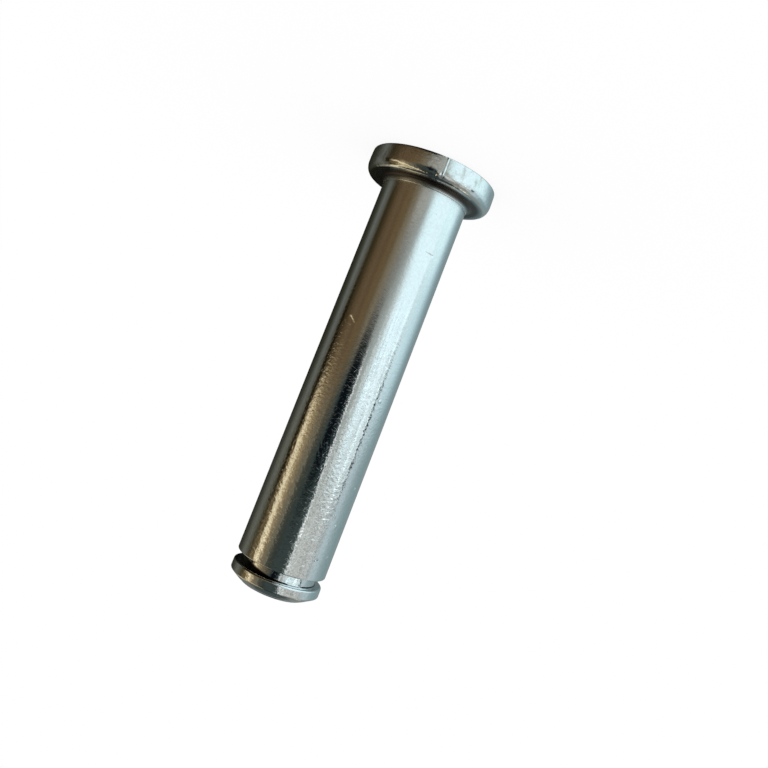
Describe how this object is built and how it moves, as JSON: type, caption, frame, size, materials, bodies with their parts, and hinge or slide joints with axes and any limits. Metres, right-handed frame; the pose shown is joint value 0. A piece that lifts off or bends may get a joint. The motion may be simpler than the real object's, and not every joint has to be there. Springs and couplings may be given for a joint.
{
  "type": "foot peg pin",
  "caption": "Headed clevis pin on which a folding foot peg turns: flat round head, plain shank, retaining ring groove and chamfered nose, in bright zinc-plated steel.",
  "frame": {"origin": "centre of the head's flat outer face, on which the pin stands", "axes": "+Z along the pin's axis, from the head to the chamfered nose; X and Y are free, because the pin is round"},
  "size_m": [0.0146, 0.0146, 0.0493],
  "materials": {
    "zinc_plate": "bright zinc plate over turned steel, slightly dimpled"
  },
  "bodies": {
    "root": {"pin": "zinc_plate"}
  },
  "joints": []
}
